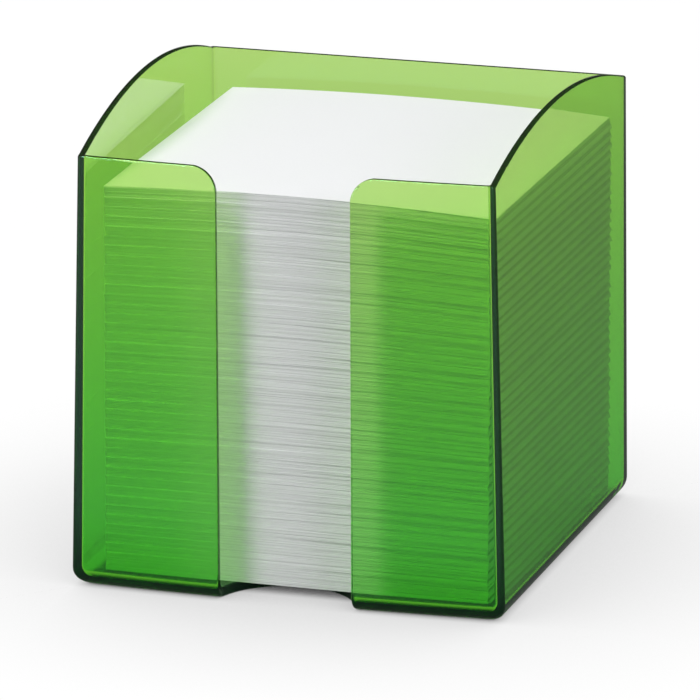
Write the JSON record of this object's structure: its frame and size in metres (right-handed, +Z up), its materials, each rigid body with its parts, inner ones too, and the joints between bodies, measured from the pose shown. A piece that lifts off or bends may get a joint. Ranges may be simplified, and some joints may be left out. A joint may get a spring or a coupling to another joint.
{
  "type": "memo box",
  "caption": "Translucent moulded memo box, open at the top, with arched sides and a finger slot down the front, holding a stack of loose square note sheets.",
  "frame": {"origin": "middle of the footprint, on the table", "axes": "+X to the right as seen from the slotted front, +Y from the front to the rear, +Z up"},
  "size_m": [0.1, 0.1024, 0.1066],
  "materials": {
    "green_plastic": "clear green tint, polished",
    "note_paper": "matt, uncoated white"
  },
  "bodies": {
    "box": {"memo_box": "green_plastic"},
    "note_stack": {"note_sheaf_01": "note_paper", "note_sheaf_02": "note_paper", "note_sheaf_03": "note_paper", "note_sheaf_04": "note_paper", "note_sheaf_05": "note_paper", "note_sheaf_06": "note_paper", "note_sheaf_07": "note_paper", "note_sheaf_08": "note_paper", "note_sheaf_09": "note_paper", "note_sheaf_10": "note_paper", "note_sheaf_11": "note_paper", "note_sheaf_12": "note_paper", "note_sheaf_13": "note_paper", "note_sheaf_14": "note_paper", "note_sheaf_15": "note_paper", "note_sheaf_16": "note_paper", "note_sheaf_17": "note_paper", "note_sheaf_18": "note_paper", "note_sheaf_19": "note_paper", "note_sheaf_20": "note_paper", "note_sheaf_21": "note_paper", "note_sheaf_22": "note_paper", "note_sheaf_23": "note_paper", "note_sheaf_24": "note_paper", "note_sheaf_25": "note_paper", "note_sheaf_26": "note_paper", "note_sheaf_27": "note_paper", "note_sheaf_28": "note_paper", "note_sheaf_29": "note_paper", "note_sheaf_30": "note_paper", "note_sheaf_31": "note_paper", "note_sheaf_32": "note_paper", "note_sheaf_33": "note_paper", "note_sheaf_34": "note_paper", "note_sheaf_35": "note_paper", "note_sheaf_36": "note_paper", "note_sheaf_37": "note_paper", "note_sheaf_38": "note_paper", "note_sheaf_39": "note_paper", "note_sheaf_40": "note_paper"},
    "top_sheet": {"top_sheet": "note_paper"}
  },
  "joints": [
    {"name": "stack_lift", "type": "slide", "parent": "box", "child": "note_stack", "axis": [0, 0, 1], "range_m": [0, 0.115]},
    {"name": "top_sheet_lift", "type": "slide", "parent": "note_stack", "child": "top_sheet", "axis": [0, 0, 1], "range_m": [0, 0.04]}
  ]
}
